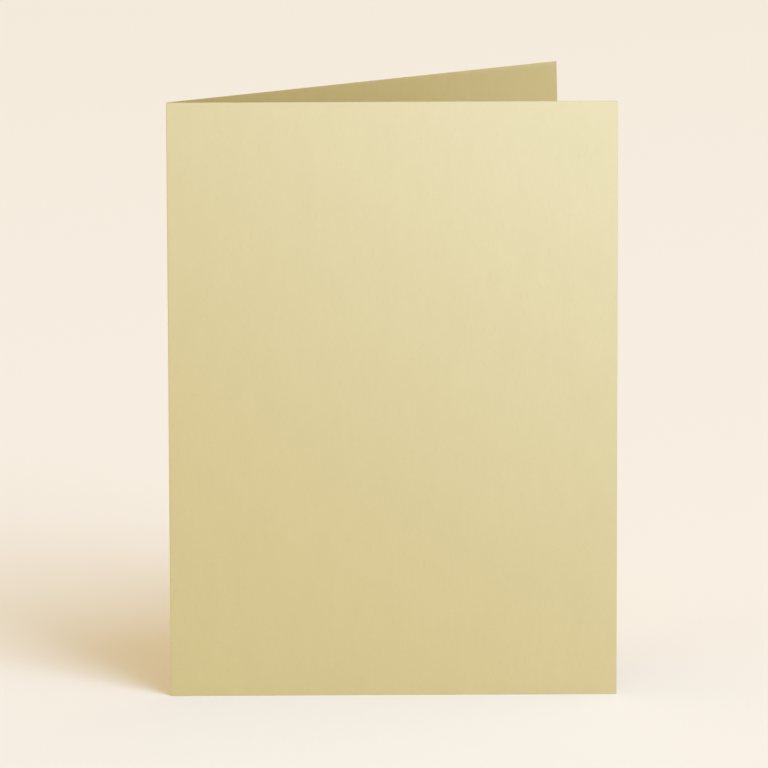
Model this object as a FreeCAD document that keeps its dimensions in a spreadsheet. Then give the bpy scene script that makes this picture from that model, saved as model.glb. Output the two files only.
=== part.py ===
"""Folded greeting card, standing upright and partly open.

One sheet of card stock, scored down the middle and folded once. It stands on the lower cut edges
of its two panels, with the fold at the left, the front panel flat and square to the viewer, and
the back panel running away behind it. The fold springs open a little more at the top than at the
foot, so the back panel has a slight twist.

Axes: +Z is up, +X runs from the fold to the free edge of the front panel, and the front panel
faces -Y. The origin is on the surface that the card stands on, under the middle of its box.

Each sketch is one level cut through the sheet of card. The card is the ruled loft from the cut at
its foot to the cut at its top. Lengths are millimetres and angles are degrees.
"""

import FreeCAD, Part
import math
import os
import Sketcher

SIZES = {
    "card_height": 177.8,
    "panel_width": 131.3,
    "stock_thickness": 0.35,
    "fold_radius": 0.45,
    "bead_radius": 0.2,
    "bead_reach": 0.2,
    "opening_at_top": 28.8,
    "opening_at_foot": 25.3,
}
NODE = "folded_card"

# The numbers by which a sketch knows a line's ends, an arc's centre, and its own origin and axis.
START, END, CENTRE = 1, 2, 3
SKETCH_ORIGIN = (-1, START)
X_AXIS = -1


def write_sizes(doc):
    """The driving dimensions, one named cell each."""
    table = doc.addObject("Spreadsheet::Sheet", "Sizes")
    for row, (alias, value) in enumerate(SIZES.items(), start=1):
        table.set(f"A{row}", alias)
        table.set(f"B{row}", str(value))
        table.setAlias(f"B{row}", alias)
    doc.recompute()


def base_plane(body, role):
    """One of the body's own base planes."""
    return next(plane for plane in body.Origin.OriginFeatures if plane.Role == role)


def cut_outline(opening):
    """The outline of a level cut at an opening angle: four edges round the front panel and the
    bead, then four round the back panel and the outside of the fold."""
    width, stock = SIZES["panel_width"], SIZES["stock_thickness"]
    radius, reach = SIZES["fold_radius"], SIZES["bead_reach"]
    turn = math.radians(opening)
    fold_centre = FreeCAD.Vector(radius, radius)
    along_back = FreeCAD.Vector(math.cos(turn), math.sin(turn))
    out_of_back = FreeCAD.Vector(-math.sin(turn), math.cos(turn))
    between = FreeCAD.Vector(math.cos(turn / 2), math.sin(turn / 2))

    front_start = FreeCAD.Vector(radius, 0)
    front_end = FreeCAD.Vector(width, 0)
    front_end_inside = FreeCAD.Vector(width, stock)
    bead_front = FreeCAD.Vector(radius + reach, stock)
    back_start = fold_centre + out_of_back * radius
    back_end = back_start + along_back * (width - radius)
    back_end_inside = back_end - out_of_back * stock
    bead_back = back_start + along_back * reach - out_of_back * stock

    half_gap = (bead_back - bead_front).Length / 2
    sunk = math.sqrt(SIZES["bead_radius"] ** 2 - half_gap**2)
    bead_crown = (bead_front + bead_back) / 2 + between * (SIZES["bead_radius"] - sunk)
    return [
        Part.LineSegment(front_start, front_end),
        Part.LineSegment(front_end, front_end_inside),
        Part.LineSegment(front_end_inside, bead_front),
        Part.Arc(bead_front, bead_crown, bead_back),
        Part.LineSegment(bead_back, back_end_inside),
        Part.LineSegment(back_end_inside, back_end),
        Part.LineSegment(back_start, back_end),
        Part.Arc(back_start, fold_centre - between * radius, front_start),
    ]


def level_cut(body, name, opening):
    """A level cut through the folded sheet: two straight panels, the round outside of the fold,
    and the bead that the scoring rule pushes up inside it. opening names its angle."""
    sketch = body.newObject("Sketcher::SketchObject", name)
    sketch.AttachmentSupport = [(base_plane(body, "XY_Plane"), "")]
    sketch.MapMode = "FlatFace"

    outline = cut_outline(SIZES[opening])
    sketch.addGeometry(outline, False)
    front, front_edge, front_inside, bead, back_inside, back_edge, back, fold = range(len(outline))
    relations = [
        ("Coincident", front, END, front_edge, START),
        ("Coincident", front_edge, END, front_inside, START),
        ("Coincident", front_inside, END, bead, START),
        ("Coincident", bead, END, back_inside, START),
        ("Coincident", back_inside, END, back_edge, START),
        ("Coincident", back_edge, END, back, END),
        ("Tangent", back, START, fold, START),
        ("Tangent", fold, END, front, START),
        ("PointOnObject", front, START, X_AXIS),
        ("Horizontal", front),
        ("Horizontal", front_inside),
        ("Vertical", front_edge),
        ("Parallel", back, back_inside),
        ("Perpendicular", back, back_edge),
        ("Equal", front, back),
        ("Equal", front_inside, back_inside),
    ]
    for relation in relations:
        sketch.addConstraint(Sketcher.Constraint(*relation))

    dimensions = {
        "width": ("panel_width", "DistanceX", *SKETCH_ORIGIN, front, END),
        "fold_place": ("fold_radius", "DistanceX", *SKETCH_ORIGIN, fold, CENTRE),
        "fold_size": ("fold_radius", "Radius", fold),
        "front_stock": ("stock_thickness", "Distance", front_edge),
        "back_stock": ("stock_thickness", "Distance", back_edge),
        "bead_place": ("bead_reach", "DistanceX", front, START, bead, START),
        "bead_size": ("bead_radius", "Radius", bead),
        "opening": (opening, "Angle", front, back),
    }
    for label, (alias, kind, *geometry) in dimensions.items():
        value = math.radians(SIZES[alias]) if kind == "Angle" else SIZES[alias]
        index = sketch.addConstraint(Sketcher.Constraint(kind, *geometry, value))
        sketch.renameConstraint(index, label)
        sketch.setExpression(f"Constraints.{label}", f"Sizes.{alias}")
    return sketch


def folded_card(doc):
    """The whole card, lofted from its foot to its top and set with its origin under its middle."""
    body = doc.addObject("PartDesign::Body", NODE)
    body.Label = NODE
    foot = level_cut(body, "foot_cut", "opening_at_foot")
    top = level_cut(body, "top_cut", "opening_at_top")
    top.setExpression("AttachmentOffset.Base.z", "Sizes.card_height")
    doc.recompute()

    card = body.newObject("PartDesign::AdditiveLoft", "folded_sheet")
    card.Profile = foot
    card.Sections = [top]
    card.Ruled = True
    body.Tip = card

    depth = (
        "(Sizes.fold_radius * (1 + cos(Sizes.opening_at_top * 1 deg))"
        " + (Sizes.panel_width - Sizes.fold_radius) * sin(Sizes.opening_at_top * 1 deg))"
    )
    body.setExpression("Placement.Base.x", "-Sizes.panel_width / 2")
    body.setExpression("Placement.Base.y", f"-{depth} / 2")
    doc.recompute()
    return body


def check(doc, body):
    """Stops the build if a feature failed without a message."""
    for item in doc.Objects:
        if "Invalid" in item.State or "Error" in item.State:
            raise RuntimeError(f"{item.Label} failed: {item.State}")
    if body.Shape.isNull() or not body.Shape.isValid() or len(body.Shape.Solids) != 1:
        raise RuntimeError(f"{body.Label} is not one valid solid")


def main():
    doc = FreeCAD.newDocument("greeting_card")
    write_sizes(doc)
    card = folded_card(doc)
    check(doc, card)
    os.makedirs("parts", exist_ok=True)
    card.Shape.exportStep(f"parts/{card.Label}.step")

    flat_volume = 2 * SIZES["panel_width"] * SIZES["card_height"] * SIZES["stock_thickness"]
    print(f"{card.Label}: volume {card.Shape.Volume:.0f} mm3, flat sheet {flat_volume:.0f} mm3")
    print(card.Shape.optimalBoundingBox())


main()
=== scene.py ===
"""Looks of a blank greeting card: one sheet of dyed card stock, scored, folded and stood up partly
open. Lengths are metres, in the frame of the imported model, and angles are radians."""

import math

import bpy
from mathutils import Euler, Matrix, Vector


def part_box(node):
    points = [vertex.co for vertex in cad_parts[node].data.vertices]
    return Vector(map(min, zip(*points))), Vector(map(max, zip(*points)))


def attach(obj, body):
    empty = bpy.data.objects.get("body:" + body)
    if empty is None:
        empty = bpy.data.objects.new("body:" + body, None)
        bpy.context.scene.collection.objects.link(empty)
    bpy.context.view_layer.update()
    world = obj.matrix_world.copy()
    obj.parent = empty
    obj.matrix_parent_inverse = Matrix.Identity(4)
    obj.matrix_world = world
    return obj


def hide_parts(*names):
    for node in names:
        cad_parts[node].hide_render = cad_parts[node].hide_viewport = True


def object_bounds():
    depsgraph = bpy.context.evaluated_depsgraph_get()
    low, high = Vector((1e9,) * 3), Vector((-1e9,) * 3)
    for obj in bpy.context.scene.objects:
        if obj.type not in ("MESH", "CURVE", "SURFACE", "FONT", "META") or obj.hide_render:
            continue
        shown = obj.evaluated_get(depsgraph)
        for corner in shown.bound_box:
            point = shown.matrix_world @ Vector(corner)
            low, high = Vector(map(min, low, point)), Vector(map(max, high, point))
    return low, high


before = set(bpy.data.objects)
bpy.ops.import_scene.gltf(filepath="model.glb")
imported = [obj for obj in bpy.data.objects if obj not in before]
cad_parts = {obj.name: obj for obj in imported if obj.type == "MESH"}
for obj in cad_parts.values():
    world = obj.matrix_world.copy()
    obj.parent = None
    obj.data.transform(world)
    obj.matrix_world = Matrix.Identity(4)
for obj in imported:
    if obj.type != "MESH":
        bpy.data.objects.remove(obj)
CAD_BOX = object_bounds()

MM = 0.001

# The sheet, as it is cut, scored and folded. The bead is the ridge that the score pushes up inside.
STOCK = 0.35 * MM
FOLD_RADIUS = 0.45 * MM
BEND = math.pi * FOLD_RADIUS
BEAD_RADIUS = 0.2 * MM
BEAD_REACH = 0.2 * MM
OPENING_AT_TOP = math.radians(28.8)
OPENING_AT_FOOT = math.radians(25.3)
CUT_SOFTNESS = 0.05 * MM
SCORE_DEPTH = 0.02 * MM

# How finely the sheet is meshed: over the panels, round the fold, round a cut edge and beside one.
PANEL_STEP = 3 * MM
LEVEL_STEP = 2 * MM
FOLD_STEPS = 32
CUT_STEPS = 3
STEPS_FROM_EDGE = (0.1 * MM, 0.35 * MM, 1.2 * MM)

# The marks of the stock, close up. Its grain runs along the fold.
FORMATION_SIZE = 5 * MM
TOOTH_SIZE = 0.3 * MM
TOOTH_DEPTH = 0.02 * MM
GRAIN_STRETCH = 3
BURNISH_REACH = 1.2 * MM

# The fibres: how far apart they lie, how thin they are, how many gaps they run, and how sharply
# they end.
FIBRE_GAP = 0.7 * MM
PALE_FIBRE_GAP = 0.49 * MM
FIBRE_FINENESS = 22
FIBRE_LENGTH = 1.7
FIBRE_END_SHARPNESS = 4

# What each mark multiplies the colour of the stock by.
FORMATION_TINT = (0.96, 0.956, 0.944)
TOOTH_TINT = (0.976, 0.973, 0.964)
FIBRE_TINT = (0.97, 0.966, 0.952)
PALE_FIBRE_TINT = (1.02, 1.02, 1.028)
BURNISH_TINT = (0.985, 0.983, 0.975)
CUT_TINT = (0.91, 0.892, 0.838)

# How rough and glossy the stock is, and what each mark adds to its roughness and to its relief.
ROUGHNESS = 0.58
TOOTH_ROUGHNESS = 0.12
CUT_ROUGHNESS = 0.15
BURNISH_ROUGHNESS = -0.12
FORMATION_RELIEF = 0.4
FIBRE_RELIEF = 0.25
RELIEF_STRENGTH = 0.4
PAPER_IOR = 1.47

# Colours as they look on a screen, from 0 to 255.
KHAKI_STOCK = (219, 209, 165)
CREAM_FLOOR = (247, 238, 226)

# The camera, as the photograph was taken, and the floor that fills its view.
LENS = 423.7
CAMERA_DISTANCE = 2.6426
CAMERA_PITCH = math.radians(12.557)
CAMERA_YAW = math.radians(0.406)
CAMERA_ROLL = math.radians(-0.168)
AIM_ACROSS = -2.587 * MM
AIM_HEIGHT = 93.896 * MM
FLOOR_SPAN = 60

# The light. A lamp is as strong as makes its colour the level of a white surface that it lights: the
# floor at the card for the key light, and a surface that faces the lamp for the others.
BACK_GLOW = (0.76, 0.54, 0.18)
BACK_GLOW_SPILL = 0.5
FRONT_GLOW = (0.79, 0.83, 0.86)
FRONT_GLOW_AZIMUTH = math.radians(45)
FRONT_GLOW_ELEVATION = math.radians(45)
KEY_LIGHT = (0.265, 0.37, 0.56)
KEY_AZIMUTH = math.radians(40)
KEY_ELEVATION = math.radians(50)
KEY_DISTANCE = 10
KEY_WIDTH = 4.2
KEY_HEIGHT = 8.1
FRONT_LIGHT = (0.5, 0.66, 1.15)
FRONT_LIGHT_PLACE = (0.15, -3, 0.16)
FRONT_LIGHT_SLANT = math.radians(55)
FRONT_LIGHT_OFFSET = 0.55
FRONT_LIGHT_RADIUS = 0.66
FRONT_LIGHT_SIZE = 0.12
SIDE_LIGHT = (0.2, 0.15, 0)
SIDE_AZIMUTH = math.radians(-35)
SIDE_ELEVATION = math.radians(20)
BACK_LIGHT = (0.29, 0.34, 0.48)
BACK_AZIMUTH = math.radians(195)
BACK_ELEVATION = math.radians(12)
SOFT_SPREAD = math.radians(30)


def linear(colour):
    """A screen colour from 0 to 255 as the linear colour that a shader takes."""
    shares = [level / 255 for level in colour]
    return [s / 12.92 if s <= 0.04045 else ((s + 0.055) / 1.055) ** 2.4 for s in shares] + [1]


def heading(angle):
    """The level direction at an angle from the front panel, turned towards the back one."""
    return Vector((math.cos(angle), math.sin(angle)))


def score_mark(share):
    """The two hollows that the score leaves round the outside of the fold, 1 at their deepest."""
    hollow = math.sin(3 * math.pi * share)
    return max(0, hollow) ** 2


class Section:
    """A level cut through the sheet at one opening angle. A point of it is given as how far right it
    is of the fold's leftmost point, and how far behind the face of the front panel."""

    def __init__(self, width, opening):
        self.width, self.opening = width, opening
        self.panel = width - FOLD_RADIUS
        self.centre = Vector((FOLD_RADIUS, FOLD_RADIUS))
        self.along_back = heading(opening)
        self.out_of_back = heading(opening + math.pi / 2)
        self.bead_front = Vector((FOLD_RADIUS + BEAD_REACH, STOCK))
        inside = FOLD_RADIUS - STOCK
        self.bead_back = self.centre + self.out_of_back * inside + self.along_back * BEAD_REACH
        half_gap = (self.bead_back - self.bead_front) / 2
        sunk = math.sqrt(BEAD_RADIUS**2 - half_gap.length_squared)
        self.bead_centre = (self.bead_front + self.bead_back) / 2 - heading(opening / 2) * sunk
        self.bead_half_turn = math.asin(half_gap.length / BEAD_RADIUS)

    def point(self, along, depth):
        """The point at along, measured round the sheet from the front panel's free edge to the back
        panel's, and at depth, from 0 on the outside of the fold to 1 on its inside."""
        if along <= self.panel:
            outside, inside = self.on_front(along)
        elif along < self.panel + BEND:
            outside, inside = self.on_fold((along - self.panel) / BEND)
        else:
            outside, inside = self.on_back(along - self.panel - BEND)
        return outside.lerp(inside, depth)

    def on_front(self, run):
        """The two sides of the front panel, run from its free edge."""
        outside = Vector((self.width - run, 0))
        inside = Vector((self.width, STOCK)).lerp(self.bead_front, run / self.panel)
        return outside, inside

    def on_fold(self, share):
        """The two sides of the fold, by the share of it that is passed."""
        angle = -math.pi / 2 - share * (math.pi - self.opening)
        radius = FOLD_RADIUS - SCORE_DEPTH * score_mark(share)
        outside = self.centre + heading(angle) * radius
        angle = self.opening / 2 + (2 * share - 1) * self.bead_half_turn
        inside = self.bead_centre + heading(angle) * BEAD_RADIUS
        return outside, inside

    def on_back(self, run):
        """The two sides of the back panel, run from the fold."""
        outside = self.centre + self.out_of_back * FOLD_RADIUS + self.along_back * run
        free_edge = self.bead_back + self.along_back * (self.panel - BEAD_REACH)
        inside = self.bead_back.lerp(free_edge, run / self.panel)
        return outside, inside


class Sheet:
    """The folded sheet, as a map from a place on the flat sheet to its point in space."""

    def __init__(self, low, high):
        self.low = low
        self.at_foot = Section(high.x - low.x, OPENING_AT_FOOT)
        self.at_top = Section(high.x - low.x, OPENING_AT_TOP)
        self.panel = self.at_foot.panel
        self.length = 2 * self.panel + BEND
        self.height = high.z - low.z

    def point(self, along, height, depth):
        """The point at a height, on a straight line from the cut at the foot to the one at the top."""
        foot = self.at_foot.point(along, depth)
        top = self.at_top.point(along, depth)
        across, back = foot.lerp(top, height / self.height)
        return self.low + Vector((across, back, height))


def stations(length, step):
    """Places from one cut edge to the other, close together near each."""
    near = [0, *STEPS_FROM_EDGE]
    inner = length - 2 * near[-1]
    count = max(1, round(inner / step))
    middle = [near[-1] + inner * i / count for i in range(1, count)]
    return near + middle + [length - place for place in reversed(near)]


def cut_profile():
    """The rounded cut edge between the two skins: how far inside the cut, and how deep."""
    turns = [i / CUT_STEPS * math.pi / 2 for i in range(1, CUT_STEPS + 1)]
    soft, share = CUT_SOFTNESS, CUT_SOFTNESS / STOCK
    corner = [(soft * (1 - math.sin(turn)), share * (1 - math.cos(turn))) for turn in turns]
    return corner + [(inset, 1 - depth) for inset, depth in reversed(corner)]


class SheetMesh:
    """The closed mesh of a sheet: an outer and an inner skin, joined by soft cut edges."""

    def __init__(self, sheet):
        self.sheet = sheet
        panel = stations(sheet.panel, PANEL_STEP)
        fold = [sheet.panel + BEND * i / FOLD_STEPS for i in range(1, FOLD_STEPS)]
        self.along = panel + fold + [sheet.panel + BEND + place for place in panel]
        self.heights = stations(sheet.height, LEVEL_STEP)
        self.vertices, self.faces = [], []
        self.marks = {"cut_edge": [], "burnish": []}
        self.cut_edges(self.skin(0), self.skin(1))

    def vertex(self, place, inset, depth):
        """Adds the vertex at a place of the grid, at least inset from each cut, and marks it."""
        column, row = place
        along = min(max(self.along[column], inset), self.sheet.length - inset)
        height = min(max(self.heights[row], inset), self.sheet.height - inset)
        self.vertices.append(self.sheet.point(along, height, depth))
        from_fold = abs(along - self.sheet.length / 2) - BEND / 2
        self.marks["cut_edge"].append(0.0 if depth in (0, 1) else 1.0)
        self.marks["burnish"].append(min(1.0, max(0.0, 1 - from_fold / BURNISH_REACH)))
        return len(self.vertices) - 1

    def skin(self, depth):
        """Adds one side of the sheet, and gives the vertex at each place of it."""
        columns, rows = range(len(self.along)), range(len(self.heights))
        grid = {(i, j): self.vertex((i, j), CUT_SOFTNESS, depth) for i in columns for j in rows}
        for i in columns[:-1]:
            for j in rows[:-1]:
                corners = [grid[i, j], grid[i + 1, j], grid[i + 1, j + 1], grid[i, j + 1]]
                self.faces.append(corners if depth == 1 else corners[::-1])
        return grid

    def border(self):
        """The places along the edge of the grid, once round."""
        right, top = len(self.along) - 1, len(self.heights) - 1
        return (
            [(i, 0) for i in range(right)]
            + [(right, j) for j in range(top)]
            + [(i, top) for i in range(right, 0, -1)]
            + [(0, j) for j in range(top, 0, -1)]
        )

    def cut_edges(self, outer, inner):
        """Adds the cut edge, ring by ring from the outer skin to the inner one."""
        places = self.border()
        rings = [[outer[place] for place in places]]
        for inset, depth in cut_profile():
            rings.append([self.vertex(place, inset, depth) for place in places])
        rings.append([inner[place] for place in places])
        for ring, beyond in zip(rings, rings[1:]):
            for k in range(len(places)):
                after = (k + 1) % len(places)
                self.faces.append([ring[k], ring[after], beyond[after], beyond[k]])

    def data(self, name):
        """The mesh for Blender, with the marks as attributes that the material reads."""
        mesh = bpy.data.meshes.new(name)
        mesh.from_pydata(self.vertices, [], self.faces)
        for mark, shares in self.marks.items():
            mesh.attributes.new(mark, "FLOAT", "POINT").data.foreach_set("value", shares)
        mesh.shade_smooth()
        mesh.update()
        return mesh


class Value:
    """One socket of a material's nodes, so that shader maths reads as Python."""

    def __init__(self, nodes, socket):
        self.nodes, self.socket = nodes, socket

    def maths(self, operation, other, swapped=False):
        terms = [other, self] if swapped else [self, other]
        return self.nodes.add("ShaderNodeMath", {"operation": operation}, {0: terms[0], 1: terms[1]})

    def at_least(self, other):
        return self.maths("MAXIMUM", other)

    def at_most(self, other):
        return self.maths("MINIMUM", other)

    def __abs__(self):
        return self.maths("ABSOLUTE", 0)

    def __add__(self, other):
        return self.maths("ADD", other)

    def __radd__(self, other):
        return self.maths("ADD", other, swapped=True)

    def __sub__(self, other):
        return self.maths("SUBTRACT", other)

    def __rsub__(self, other):
        return self.maths("SUBTRACT", other, swapped=True)

    def __mul__(self, other):
        return self.maths("MULTIPLY", other)

    def __rmul__(self, other):
        return self.maths("MULTIPLY", other, swapped=True)


class Nodes:
    """The nodes of one material or of the world."""

    def __init__(self, owner):
        owner.use_nodes = True
        self.tree = owner.node_tree
        self.tree.nodes.clear()

    def add(self, kind, settings=None, inputs=None, output=0):
        """A node of any type: its settings first, then the values or links of its sockets."""
        node = self.tree.nodes.new(kind)
        for name, setting in (settings or {}).items():
            setattr(node, name, setting)
        for name, given in (inputs or {}).items():
            if isinstance(given, Value):
                self.tree.links.new(given.socket, node.inputs[name])
            else:
                node.inputs[name].default_value = given
        return Value(self, node.outputs[output]) if node.outputs else None


def noise(nodes, place, size, detail=2, roughness=0.5):
    """A cloudy value about 0.5, whose clouds are about size across."""
    inputs = {"Vector": place, "Scale": 1 / size, "Detail": detail, "Roughness": roughness}
    return nodes.add("ShaderNodeTexNoise", {}, inputs)


def strands(nodes, place, gap):
    """Thin wavering lines about gap apart, broken into short lengths."""
    line = (1 - abs(noise(nodes, place, gap, detail=1) - 0.5) * FIBRE_FINENESS).at_least(0)
    ends = (noise(nodes, place, FIBRE_LENGTH * gap, detail=0) - 0.5) * FIBRE_END_SHARPNESS + 0.5
    return line * ends.at_least(0).at_most(1)


def painted(nodes, mark):
    """A mark that is painted on the mesh, from 0 to 1."""
    return nodes.add("ShaderNodeAttribute", {"attribute_name": mark}, output="Fac")


def tinted(nodes, colour, mark, tint):
    """colour, multiplied by tint where the mark is 1."""
    settings = {"data_type": "RGBA", "blend_type": "MULTIPLY"}
    return nodes.add("ShaderNodeMix", settings, {0: mark, 6: colour, 7: [*tint, 1]}, output=2)


def card_stock():
    """Uncoated stock, dyed through: a cloudy formation, fibres along the grain, a fine tooth, raw
    cut edges and a burnished fold."""
    material = bpy.data.materials.new("khaki card stock")
    nodes = Nodes(material)
    place = nodes.add("ShaderNodeTexCoord", output="Object")
    squeeze = {0: place, 1: (1, 1, 1 / GRAIN_STRETCH)}
    grain = nodes.add("ShaderNodeVectorMath", {"operation": "MULTIPLY"}, squeeze)

    formation = noise(nodes, grain, FORMATION_SIZE, detail=4)
    tooth = noise(nodes, place, TOOTH_SIZE, detail=4, roughness=0.65)
    fibres = strands(nodes, grain, FIBRE_GAP)
    pale_fibres = strands(nodes, place, PALE_FIBRE_GAP)
    burnish = painted(nodes, "burnish")
    cut = painted(nodes, "cut_edge")

    colour = linear(KHAKI_STOCK)
    colour = tinted(nodes, colour, formation, FORMATION_TINT)
    colour = tinted(nodes, colour, tooth, TOOTH_TINT)
    colour = tinted(nodes, colour, fibres, FIBRE_TINT)
    colour = tinted(nodes, colour, pale_fibres, PALE_FIBRE_TINT)
    colour = tinted(nodes, colour, burnish, BURNISH_TINT)
    colour = tinted(nodes, colour, cut, CUT_TINT)

    roughness = tooth * TOOTH_ROUGHNESS + cut * CUT_ROUGHNESS + burnish * BURNISH_ROUGHNESS
    relief = tooth + formation * FORMATION_RELIEF + (fibres + pale_fibres) * FIBRE_RELIEF
    raised = {"Strength": RELIEF_STRENGTH, "Distance": TOOTH_DEPTH, "Height": relief}
    inputs = {
        "Base Color": colour,
        "Roughness": ROUGHNESS + roughness,
        "IOR": PAPER_IOR,
        "Normal": nodes.add("ShaderNodeBump", {}, raised),
    }
    shader = nodes.add("ShaderNodeBsdfPrincipled", {}, inputs)
    nodes.add("ShaderNodeOutputMaterial", {}, {"Surface": shader})
    return material


def folded_card():
    """The card itself, in place of the plain solid."""
    sheet = Sheet(*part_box("folded_card"))
    mesh = SheetMesh(sheet).data("card_sheet")
    mesh.materials.append(card_stock())
    card = bpy.data.objects.new("card_sheet", mesh)
    bpy.context.scene.collection.objects.link(card)
    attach(card, "root")
    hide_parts("folded_card")
    return card


def cream_floor():
    """The plain seamless floor."""
    material = bpy.data.materials.new("cream floor")
    nodes = Nodes(material)
    shader = nodes.add("ShaderNodeBsdfDiffuse", {}, {"Color": linear(CREAM_FLOOR)})
    nodes.add("ShaderNodeOutputMaterial", {}, {"Surface": shader})
    half = FLOOR_SPAN / 2
    corners = [(-half, -half, 0), (half, -half, 0), (half, half, 0), (-half, half, 0)]
    mesh = bpy.data.meshes.new("floor")
    mesh.from_pydata(corners, [], [(0, 1, 2, 3)])
    mesh.materials.append(material)
    floor = bpy.data.objects.new("floor", mesh)
    bpy.context.scene.collection.objects.link(floor)
    return floor


def camera():
    """A long lens that looks down a little on the card, nearly square to its front panel."""
    aim = Vector((AIM_ACROSS, CAD_BOX[0].y, AIM_HEIGHT))
    turn = Euler((math.pi / 2 - CAMERA_PITCH, 0, -CAMERA_YAW)).to_matrix()
    turn = turn @ Matrix.Rotation(CAMERA_ROLL, 3, "Z")
    lens = bpy.data.cameras.new("camera")
    lens.lens = LENS
    eye = bpy.data.objects.new("camera", lens)
    eye.location = aim + turn @ Vector((0, 0, CAMERA_DISTANCE))
    eye.rotation_euler = turn.to_euler()
    bpy.context.scene.collection.objects.link(eye)
    bpy.context.scene.camera = eye


def towards(azimuth, elevation=0):
    """The direction from the card to a light that stands azimuth to the right of the front."""
    level = Vector((math.sin(azimuth), -math.cos(azimuth), 0))
    return level * math.cos(elevation) + Vector((0, 0, math.sin(elevation)))


def shine(name, kind, light_colour, place, aim, lit, **settings):
    """A lamp at place that lights only the object lit. Its shadows fall as usual."""
    lamp = bpy.data.lights.new(name, kind)
    lamp.color = light_colour
    for key, setting in settings.items():
        setattr(lamp, key, setting)
    holder = bpy.data.objects.new(name, lamp)
    holder.location = place
    holder.rotation_euler = (aim - place).to_track_quat("-Z", "Y").to_euler()
    holder.visible_camera = False
    bpy.context.scene.collection.objects.link(holder)
    reached = bpy.data.collections.new(name)
    reached.objects.link(lit)
    holder.light_linking.receiver_collection = reached


def key_light(floor):
    """A tall softbox at the front right, which casts the card's shadow on the floor."""
    place = towards(KEY_AZIMUTH, KEY_ELEVATION) * KEY_DISTANCE
    settings = {
        "shape": "RECTANGLE",
        "size": KEY_WIDTH,
        "size_y": KEY_HEIGHT,
        "energy": (math.pi * KEY_DISTANCE) ** 2 / math.sin(KEY_ELEVATION),
    }
    shine("key light", "AREA", KEY_LIGHT, place, Vector(), floor, **settings)


def front_light(card):
    """A soft-edged cone of light, centred up the slant from the middle of the front panel, so that
    it fades over the panel from its upper right corner."""
    middle = Vector((0, CAD_BOX[0].y, CAD_BOX[1].z / 2))
    uphill = Vector((math.cos(FRONT_LIGHT_SLANT), 0, math.sin(FRONT_LIGHT_SLANT)))
    centre = middle + uphill * FRONT_LIGHT_OFFSET
    place = Vector(FRONT_LIGHT_PLACE)
    distance = (centre - place).length
    settings = {
        "energy": (2 * math.pi * distance) ** 2,
        "spot_size": 2 * math.atan(FRONT_LIGHT_RADIUS / distance),
        "spot_blend": 1,
        "shadow_soft_size": FRONT_LIGHT_SIZE,
    }
    shine("front light", "SPOT", FRONT_LIGHT, place, centre, card, **settings)


def soft_light(name, light_colour, azimuth, elevation, card):
    """Soft light from far away, on the card alone."""
    place = towards(azimuth, elevation)
    settings = {"energy": math.pi, "angle": SOFT_SPREAD}
    shine(name, "SUN", light_colour, place, Vector(), card, **settings)


def glow(nodes, light_colour, direction, spill=0):
    """Light of the studio that is strongest along direction and falls to spill square to it."""
    around = nodes.add("ShaderNodeTexCoord", output="Generated")
    terms = {0: around, 1: direction}
    facing = nodes.add("ShaderNodeVectorMath", {"operation": "DOT_PRODUCT"}, terms, output="Value")
    strength = (spill + (1 - spill) * facing).at_least(0)
    return nodes.add("ShaderNodeBackground", {}, {"Color": [*light_colour, 1], "Strength": strength})


def studio():
    """A warm glow from behind, a neutral one from the upper front right, and a cream backdrop."""
    world = bpy.data.worlds.new("studio")
    bpy.context.scene.world = world
    nodes = Nodes(world)
    behind = glow(nodes, BACK_GLOW, towards(math.pi), BACK_GLOW_SPILL)
    in_front = glow(nodes, FRONT_GLOW, towards(FRONT_GLOW_AZIMUTH, FRONT_GLOW_ELEVATION))
    light = nodes.add("ShaderNodeAddShader", {}, {0: behind, 1: in_front})
    backdrop = nodes.add("ShaderNodeBackground", {}, {"Color": linear(CREAM_FLOOR)})
    rays = ("Is Camera Ray", "Is Glossy Ray", "Is Transmission Ray")
    seen, in_gloss, through_glass = [nodes.add("ShaderNodeLightPath", output=ray) for ray in rays]
    shown = {0: seen + in_gloss + through_glass, 1: light, 2: backdrop}
    mixed = nodes.add("ShaderNodeMixShader", {}, shown)
    nodes.add("ShaderNodeOutputWorld", {}, {"Surface": mixed})


card = folded_card()
floor = cream_floor()
camera()
studio()
key_light(floor)
front_light(card)
soft_light("side light", SIDE_LIGHT, SIDE_AZIMUTH, SIDE_ELEVATION, card)
soft_light("back light", BACK_LIGHT, BACK_AZIMUTH, BACK_ELEVATION, card)

bpy.context.scene.view_settings.view_transform = "Standard"
